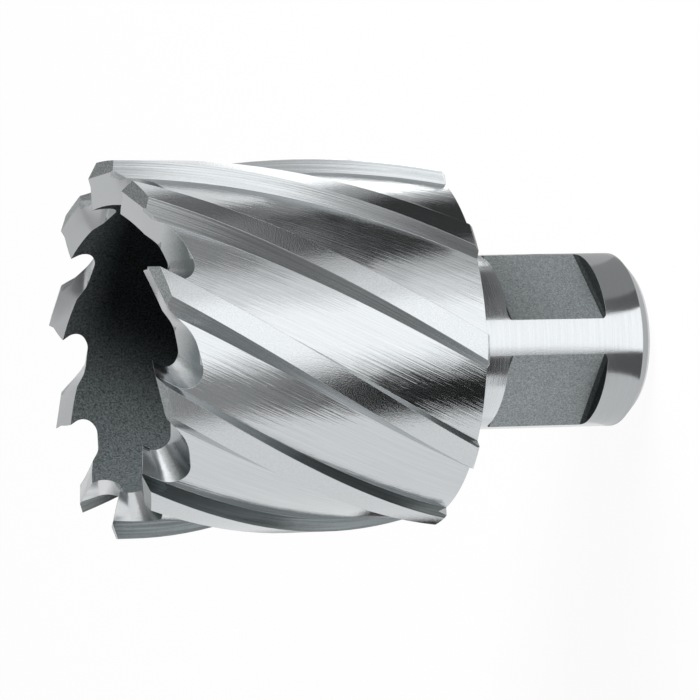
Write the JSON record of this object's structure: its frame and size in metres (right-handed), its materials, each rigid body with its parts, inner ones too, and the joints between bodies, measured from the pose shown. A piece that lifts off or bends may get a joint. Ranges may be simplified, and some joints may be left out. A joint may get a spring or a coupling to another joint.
{
  "type": "annular cutter",
  "caption": "Hollow fluted core drill bit with a ring of ground teeth around an open core bore and a short two-flat side-lock shank.",
  "frame": {"origin": "centre of the shank's flat end face, on the cutter's axis", "axes": "+Z along the axis from the shank to the teeth; +X and +Y are the outward normals of the two clamping flats"},
  "size_m": [0.04, 0.04, 0.06],
  "materials": {
    "tool_steel": "bright ground high-speed steel, polished shank with matt milled flats"
  },
  "bodies": {
    "root": {"cutter_body": "tool_steel"}
  },
  "joints": []
}
